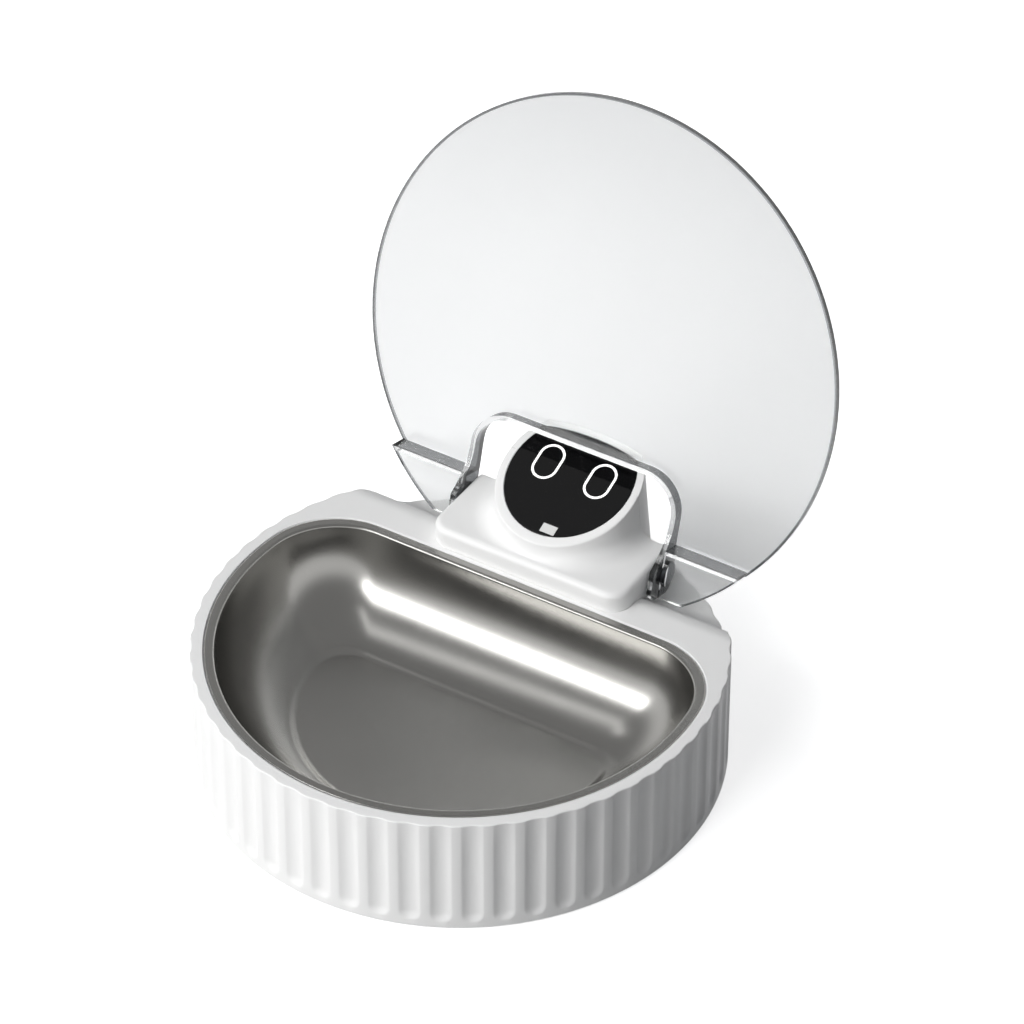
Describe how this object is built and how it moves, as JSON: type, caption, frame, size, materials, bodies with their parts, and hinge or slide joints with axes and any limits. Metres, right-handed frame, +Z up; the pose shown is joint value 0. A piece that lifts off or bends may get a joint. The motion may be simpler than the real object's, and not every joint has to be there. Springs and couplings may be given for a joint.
{
  "type": "pet feeder",
  "caption": "Round pet feeder with a fluted white base, a lift-out steel bowl, a clear smoked motor-driven lid on a rear hinge and a tilted black face with two eye rings.",
  "frame": {"origin": "centre of the round base on the surface it stands on", "axes": "+Z up, +X the feeder's right, -Y its front with the bowl, +Y the hinge and the head"},
  "size_m": [0.24, 0.2707, 0.2619],
  "materials": {
    "shell_white": "satin moulded",
    "shell_grey": "satin moulded",
    "rubber_grey": "matte",
    "steel_zinc": "zinc plated",
    "steel_brushed": "satin brushed",
    "face_black": "high gloss",
    "ring_white": "translucent",
    "board_green": "solder mask",
    "led_yellow": "clear resin",
    "chip_black": "moulded epoxy",
    "nylon_ivory": "natural",
    "copper_wire": "enamelled",
    "brass_plain": "turned",
    "frame_grey": "moulded",
    "cell_grey": "plain sleeve",
    "lid_smoked": "clear smoked"
  },
  "bodies": {
    "base": {"base_shell": "shell_white", "bottom_cover": "shell_grey", "rubber_feet": "rubber_grey", "cover_screws": "steel_zinc", "head_housing": "shell_white", "head_rear_cover": "shell_white", "housing_screws": "steel_zinc", "face_lens": "face_black", "eye_ring_left": "ring_white", "eye_ring_right": "ring_white", "sensor_window": "ring_white", "sensor_board": "board_green", "eye_leds": "led_yellow", "motion_sensor": "chip_black", "coil_former": "nylon_ivory", "reader_coil": "copper_wire", "drive_bush": "brass_plain", "idle_bush": "brass_plain", "idler_axle": "steel_zinc", "motor_gearbox": "brass_plain", "motor_can": "steel_zinc", "gear_frame": "frame_grey", "frame_screws": "steel_zinc", "main_board": "board_green", "board_parts": "chip_black", "battery_cells": "cell_grey", "battery_springs": "steel_zinc", "battery_plates": "steel_zinc", "usb_socket": "steel_zinc", "power_switch": "chip_black"},
    "lid": {"lid": "lid_smoked", "drive_shaft": "steel_zinc", "idle_pin": "steel_zinc", "pin_clip": "steel_zinc", "output_gear": "nylon_ivory"},
    "idler": {"idler_gear": "nylon_ivory"},
    "motor_rotor": {"motor_pinion": "brass_plain", "motor_shaft": "steel_zinc"},
    "bowl": {"steel_bowl": "steel_brushed"},
    "battery_door": {"battery_door": "shell_grey", "door_screw": "steel_zinc"},
    "power_button": {"power_button": "shell_grey"}
  },
  "joints": [
    {"name": "lid_hinge", "type": "hinge", "parent": "base", "child": "lid", "pos_m": [0, 0.0878, 0.0636], "axis": [1, 0, 0], "range_deg": [0, 105.7]},
    {"name": "idler_spin", "type": "hinge", "parent": "base", "child": "idler", "pos_m": [0.0246, 0.08223, 0.04606], "axis": [1, 0, 0], "range_deg": [-246, 0]},
    {"name": "motor_spin", "type": "hinge", "parent": "base", "child": "motor_rotor", "pos_m": [0.0246, 0.0922, 0.03156], "axis": [1, 0, 0], "range_deg": [0, 524]},
    {"name": "bowl_lift", "type": "slide", "parent": "base", "child": "bowl", "axis": [0, 0, 1], "range_m": [0, 0.06]},
    {"name": "battery_door_off", "type": "slide", "parent": "base", "child": "battery_door", "axis": [0, 0, -1], "range_m": [0, 0.025]},
    {"name": "power_button_press", "type": "slide", "parent": "base", "child": "power_button", "axis": [0, -1, 0], "range_m": [0, 0.0012], "stiffness_N_per_m": 600}
  ],
  "couplings": [
    {"joint": "idler_spin", "follows": "lid_hinge", "ratio": -2.2857},
    {"joint": "motor_spin", "follows": "lid_hinge", "ratio": 4.898}
  ]
}
